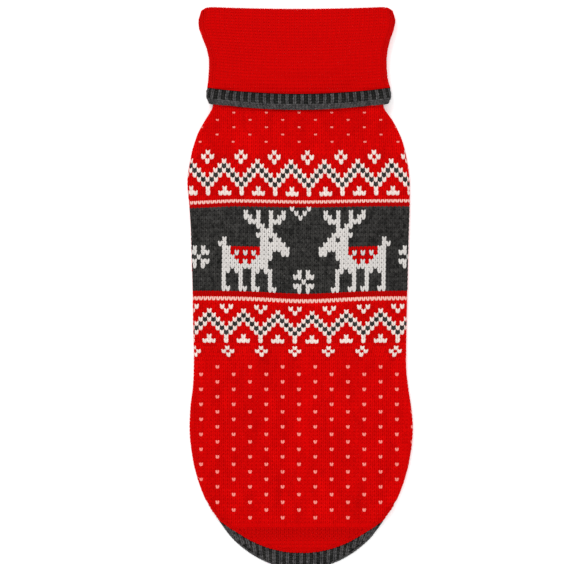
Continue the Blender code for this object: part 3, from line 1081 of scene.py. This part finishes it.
for name, yarn, wanted, form, finish in (
    ("red_stitches_shoulders", "red", bright & shoulders, PLAIN, "red"),
    ("red_stitches_hips", "red", bright & ~shoulders & ~rump, PLAIN, "red"),
    ("red_stitches_rump", "red", bright & rump, PLAIN, "red"),
    # red stitches coloured darker: painted shade
    ("red_stitches_painted_shade_by_motifs", "red", ~in_painted_deep_shade & ~bright, PLAIN, "shaded_red"),
    # red stitches coloured darkest: painted deep shade
    ("red_stitches_in_painted_deep_shade", "red", in_painted_deep_shade, PLAIN, "painted_deep_shade_red"),
    ("cream_stitches", "cream", charcoal_band, TALL, "cream"),
    ("cream_borders", "cream", ~charcoal_band, BESIDE_ZIGZAG, "border"),
    ("charcoal_zigzags", "charcoal", ~charcoal_band, ZIGZAG, "charcoal"),
    ("cream_lines", "line", flat_knit, LINE, "line"),
    ("cream_specks_shoulders", "speck", rows <= SHOULDER_SPECKS[1], SMALL_SPECK, "speck"),
    ("cream_specks", "speck", rows > SHOULDER_SPECKS[1], SPECK, "speck"),
    ("charcoal_stitches", "charcoal", charcoal_band, PLAIN, "charcoal"),
):
    chosen = body_places.picked(on_back & flat_knit & wanted & (yarns == yarn))
    knitted(name, back_face, chosen, form, finish)

tail_places = body_places.picked(on_back & ~flat_knit)
tail_stitches = [knitted("tail_rib_stitches", back_face, tail_places, RIB, "red_rib")]

on_belly = on_body(body_places, belly_sides) & (body_y > belly_end.low(body_across, Y) + SEAM_CLEAR)
on_belly &= body_y > belly_sides.levels[0]
for node in ("leg_band_left", "leg_band_right"):
    on_belly &= outside_leg(body_places, node)
belly_stitches = [
    knitted(name, belly_face, body_places.picked(on_belly & wanted), BELLY, "red", True)
    for name, wanted in (
        ("belly_stitches_front", rows < BELLY_FRONT_ENDS),
        ("belly_stitches_rear", rows >= BELLY_FRONT_ENDS),
    )]


# ---- stitches of the collar -----------------------------------------------------------------

COLLAR_RIBS = 44            # ribs across one side of the collar
COLLAR_ROW = 2.7            # height of a row


def collar_spot(rib, row):
    """Flat place of a rib and a row of the collar. The rows start just inside the fold."""
    across = (rib + 0.5) * (2 * COLLAR_REACH / COLLAR_RIBS) - COLLAR_REACH
    return np.stack((across, FOLD_RUN - (row - 1) * COLLAR_ROW), axis=-1)


def on_cloth(face, **options):
    """A face whose second place is Y-like: it falls as the cloth runs down."""
    return lambda across, y, height: face(across, -y, height, **options)


collar_rows = math.ceil((TURNED_RUN + FOLD_RUN) / COLLAR_ROW + 0.5)
collar_places = places_on_grid(collar_spot, *(
    grid.ravel() for grid in np.meshgrid(np.arange(COLLAR_RIBS), np.arange(collar_rows))))
collar_stitches = [
    knitted(name, on_cloth(collar_face, under=under), collar_places, form, "red_rib",
            under)
    for name, form, under in (
        ("collar_ribs_upper", RIB, False),
        ("collar_ribs_lower", UNDER_RIB, True),
    )]


# ---- stitches of the charcoal bindings ------------------------------------------------------

HEM_RIB = 6.0               # a raised wale and the dip beside it
BAND_WALE = 3.7             # width of a raised wale
PURL_WIDTH = 3.4            # a purl bar reaches a little under the ribs beside it
PURL_DROP = 0.8             # and lies this much lower


def rows_along(starts, ends, count):
    """Rows of straight ribs: their middles, how each runs, and the direction aside of it."""
    run = ends - starts
    shares = (np.arange(count) + 0.5) / count
    middles = (starts[:, None] + run[:, None] * shares[None, :, None]).reshape(-1, 2)
    return middles, np.repeat(run / count, count, 0), np.repeat(beside(run), count, 0)


def chain(points, width, raised=0.0):
    """Stitches laid end to end along a line of points, as where an edge is cast off."""
    run = np.diff(points, axis=0)
    return Places((points[1:] + points[:-1]) / 2, run, beside(run) * width, -raised)


def evenly(points, spacing):
    """Points at even distances along a line of points."""
    lengths = np.linalg.norm(np.diff(points, axis=0), axis=1)
    at = np.concatenate(([0], np.cumsum(lengths)))
    wanted = np.linspace(0, at[-1], round(at[-1] / spacing) + 1)
    return np.stack([np.interp(wanted, at, points[:, i]) for i in (0, 1)], 1)


def banded(name, face, starts, ends, count, gap, under=False, inside=None):
    """A ribbed charcoal band: raised wales from the starts to the ends, and in the dips between
    them short purl bars, deeper in the cloth. inside tells which points they may reach."""
    form = UNDER_BAND_RIB if under else BAND_RIB
    middles, run, aside = rows_along(starts, ends, count)
    wales = Places(middles, run, aside * BAND_WALE)
    dips = ((line[1:] + line[:-1]) / 2 for line in (starts, ends))
    middles, run, aside = rows_along(*dips, count)
    bars = Places(middles, aside * gap, run, PURL_DROP)
    if inside:
        foot = wales.middle + wales.down / 2
        out = wales.side * form.head
        wales = wales.picked(inside(foot + out) & inside(foot - out))
        out = bars.down / 2
        bars = bars.picked(inside(bars.middle + out) & inside(bars.middle - out))
    # the purl bars in the dips take the darker charcoal wool, and the ribs of the same yarn take
    # the lighter band wool: painted shade in the dips
    return [
        knitted(f"{name}_ribs", face, wales, form, "band", under),
        knitted(f"{name}_purls", face, bars, PURL, "charcoal", under)]


# The collar's edge: ribs from the seam, then two cast-off chains round its lower edge.
EDGE_RIB = 6.9
EDGE_ROWS = 3
EDGE_RIBS = (0.3, 9.0)      # from here to here below the seam
EDGE_CHAINS = (10.2, 12.6)
CHAIN_STEP = 3.0
CHAIN_WIDTH = 3.0
END_CHAINS = (0.6, 2.9, 4.7)    # chains on its end, this far past its lower edge,
END_STARTS = 69.0               # only where it reaches out past the body, at this far across
END_RAISED = 0.2


def below_seam(across, down):
    """Places on the collar's edge, all this far below its seam."""
    return np.stack((across, np.full(len(across), -down)), 1)


edge_stitches = []
rib_at = np.arange(-COLLAR_REACH + EDGE_RIB / 2, COLLAR_REACH, EDGE_RIB)
chain_at = np.arange(-COLLAR_REACH, COLLAR_REACH, CHAIN_STEP)
end_at = np.arange(END_STARTS, COLLAR_REACH, CHAIN_STEP)
for name, form, under in (
    ("collar_edge_upper", BAND_RIB, False),
    ("collar_edge_lower", UNDER_BAND_RIB, True),
):
    face = on_cloth(edge_face, under=under)
    starts, ends = (below_seam(rib_at, down) for down in EDGE_RIBS)
    edge_stitches += banded(
        name, face, starts, ends, EDGE_ROWS, PURL_WIDTH + EDGE_RIB - HEM_RIB, under)
    chains = {
        f"chain_{number + 1}": chain(below_seam(chain_at, down), CHAIN_WIDTH)
        for number, down in enumerate(EDGE_CHAINS)}
    chains["end_chains"] = joined([
        chain(below_seam(at, EDGE_BAND + down), CHAIN_WIDTH, END_RAISED)
        for down in END_CHAINS for at in (-end_at, end_at)])
    for part, places in chains.items():
        edge_stitches.append(
            knitted(f"{name}_{part}", face, places, form, "band", under))

# The crescent at the tail: ribs lean in towards the middle at its sides.
HEM_FIRST_RIB = 3.0         # inside the crescent's left tip
HEM_LAST_RIB = 1.0          # and no rib starts nearer to its right one
HEM_LEAN = 0.21             # share by which the outermost ribs' outer ends lie further in
HEM_ROWS = 4
HEM_THINNEST = 5.0          # where the crescent is narrower, it has no ribs
HEM_CLEAR = 0.7             # its stitches stay this far inside its outer edge
HEM_RIBS_END = 71.0         # from the middle, its ribs end here
HEM_RIM_ENDS = 74.0         # and its cast-off rim ends here
RIB_FROM_SEAM = 0.9         # ribs start this far past the seam
RIB_FROM_RIM = 1.9          # and end this far inside the outer edge
SEAM_ENDS = 0.8             # the seam above it ends this far inside the sides
SEAM_UP = 0.4               # its middle lies this far up from where the red knit ends
SEAM_IN = 2.0               # and stays this far inside the outer edge
SEAM_RAISED = 0.4           # it stands this much higher than the ribs
RIM_RAISED = 0.2
RIM_STEP = 3.2
RIM_WIDTH = 2.0
TIP_RIM_WIDTH = 1.1         # the cast-off rim narrows to this at the tips
TIP_NARROWS = (58.0, 72.0)
CAST_OFF_IN = 1.1           # the middle of the cast-off rim is this far inside the edge,
CAST_OFF_IN_TIPS = 1.9      # and this far where it narrows
LINE_POINTS = 400
rib_at = np.arange(hem_left + HEM_FIRST_RIB, hem_right - HEM_LAST_RIB, HEM_RIB)
from_middle = (rib_at - hem_centre) / hem_reach
outer_at = rib_at - HEM_LEAN * from_middle ** 3 * hem_reach
rib_starts = np.stack((rib_at, hem_seam(rib_at)), 1)
rib_ends = np.stack((outer_at, hem_rim(outer_at)[0]), 1)
rib_lengths = np.linalg.norm(rib_ends - rib_starts, axis=1)
wide = (rib_lengths > HEM_THINNEST) & (np.abs(rib_at - hem_centre) < HEM_RIBS_END)
rib_runs = ((rib_ends - rib_starts) / rib_lengths[:, None])[wide]


def inside_the_hem(points):
    rim, steep = hem_rim(points[:, 0])
    return points[:, 1] - rim > HEM_CLEAR * steep


hem_stitches = banded(
    "hem", hem_face, rib_starts[wide] + rib_runs * RIB_FROM_SEAM,
    rib_ends[wide] - rib_runs * RIB_FROM_RIM, HEM_ROWS, PURL_WIDTH, inside=inside_the_hem)


def along_the_hem(y_of, reach):
    """Points from side to side at y_of(across), close together where the line is steep."""
    turn = np.linspace(0, math.pi, LINE_POINTS)
    x = hem_centre - reach * np.cos(turn)
    return np.stack((x, y_of(x)), 1)


def narrowed(across, wide, narrow):
    return wide + (narrow - wide) * ease(np.abs(across - hem_centre), *TIP_NARROWS)


def cast_off_line(across):
    rim, steep = hem_rim(across)
    return rim + narrowed(across, CAST_OFF_IN, CAST_OFF_IN_TIPS) * steep


def tail_seam_line(across):
    rim, steep = hem_rim(across)
    return np.maximum(hem_seam(across) + SEAM_UP, rim + SEAM_IN * steep)


rim_line = along_the_hem(cast_off_line, HEM_RIM_ENDS)
rim_points = evenly(rim_line, RIM_STEP)
rim_widths = narrowed(rim_points[1:, :1], RIM_WIDTH, TIP_RIM_WIDTH)
rim_places = chain(rim_points, rim_widths, RIM_RAISED)
hem_stitches.append(
    knitted("hem_cast_off", hem_face, rim_places, BAND_RIB, "band"))
seam_points = evenly(along_the_hem(tail_seam_line, hem_reach - SEAM_ENDS), CHAIN_STEP)
seam_places = chain(seam_points, CHAIN_WIDTH, SEAM_RAISED)
tail_stitches.append(knitted("tail_seam", hem_face, seam_places, RIB, "red_rib"))


def ring_ends(low, high, middle, band, angles):
    """Starts and ends of the ribs of a band of this width on an ellipse round a middle."""
    around = np.stack((np.cos(angles), np.sin(angles)), 1)
    half = np.array(((high[0] - low[0]) / 2, high[1] - middle[1]))
    return middle + around * (half + RIB_OUTSIDE), middle + around * (half - band + RIB_INSIDE)


LEG_BAND = 10.0
LEG_ROWS = 3
BELLY_BAND = 14.0
BELLY_ROWS = 4
RIB_OUTSIDE = 0.1           # ribs start this far outside a band's outer edge
RIB_INSIDE = 0.9            # and end this far inside its inner one
for side in ("left", "right"):
    low, high = corners_of(f"leg_band_{side}")
    count = round(math.pi * (high - low).sum() / 2 / HEM_RIB)
    angles = np.arange(count + 1) * 2 * math.pi / count
    starts, ends = ring_ends(low, high, (low + high) / 2, LEG_BAND, angles)
    banded(
        f"leg_{side}", table_face, starts, ends, LEG_ROWS, PURL_WIDTH, under=True)

low, high = corners_of("hem_band_belly")
arch_foot = belly_sides.levels[0]
foot_y = (arch_foot + low[1]) / 2
count = round(math.pi * ((high[0] - low[0]) / 2 + high[1] - arch_foot) / 2 / HEM_RIB)
angles = (np.arange(count) + 0.5) * math.pi / count
arch = ring_ends(low, high, np.array(((low[0] + high[0]) / 2, arch_foot)), BELLY_BAND, angles)
starts, ends = (        # with one more rib below the arch at each end
    np.vstack(((line[0, 0], foot_y), line, (line[-1, 0], foot_y))) for line in arch)
belly_hem_stitches = banded(
    "belly_hem", table_face, starts, ends, BELLY_ROWS, PURL_WIDTH, under=True)


# ---- the collar's lowest and highest corners ------------------------------------------------


low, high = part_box("collar")


# ---- camera, light and floor ----------------------------------------------------------------

FIELD = 493.5               # side of the square that the camera sees at the cloth
VIEW_MIDDLE = (-15.75, 5.7)
CAMERA_HEIGHT = 4000.0      # above the middle of the cloth,
CLOTH_MIDDLE = 6.0          # which is this high
SENSOR = 36.0

camera = bpy.data.cameras.new("camera")
camera.sensor_width = SENSOR
camera.lens = SENSOR * CAMERA_HEIGHT / FIELD
camera.clip_end = 50.0
camera_object = placed("camera", camera)
camera_object.location = Vector((*VIEW_MIDDLE, CAMERA_HEIGHT + CLOTH_MIDDLE)) * MM
bpy.context.scene.camera = camera_object

world = bpy.data.worlds.new("studio")
world.use_nodes = True
world.node_tree.nodes["Background"].inputs["Color"].default_value = (1, 1, 1, 1)
world.node_tree.nodes["Background"].inputs["Strength"].default_value = 1.0
bpy.context.scene.world = world
bpy.context.scene.view_settings.view_transform = "Standard"


# One square soft light that faces the sweater, in metres and watts.
light = bpy.data.lights.new("key_light", "AREA")
light.size = 0.9
light.energy = 26
lamp = placed("key_light", light)
lamp.location = (-0.9, 1.9, 2.2)
lamp.rotation_mode = "QUATERNION"
lamp.rotation_quaternion = lamp.location.to_track_quat("Z", "Y")

FLOOR_GLOW = 0.22           # the floor is a light table, so shadows on it stay faint
FLOOR_REACH = 6.0           # metres
floor_mesh = bpy.data.meshes.new("floor")
floor_corners = ((-1, -1), (1, -1), (1, 1), (-1, 1))
floor_mesh.from_pydata(
    [(x * FLOOR_REACH, y * FLOOR_REACH, 0) for x, y in floor_corners], [], [(0, 1, 2, 3)])
floor = placed("floor", floor_mesh)
floor_finish = Shader("pale_floor").finish(
    Base_Color=(0.97, 0.97, 0.97, 1), Roughness=0.9, Specular_IOR_Level=0.0,
    Emission_Color=(1, 1, 1, 1), Emission_Strength=FLOOR_GLOW)
floor_mesh.materials.append(floor_finish)
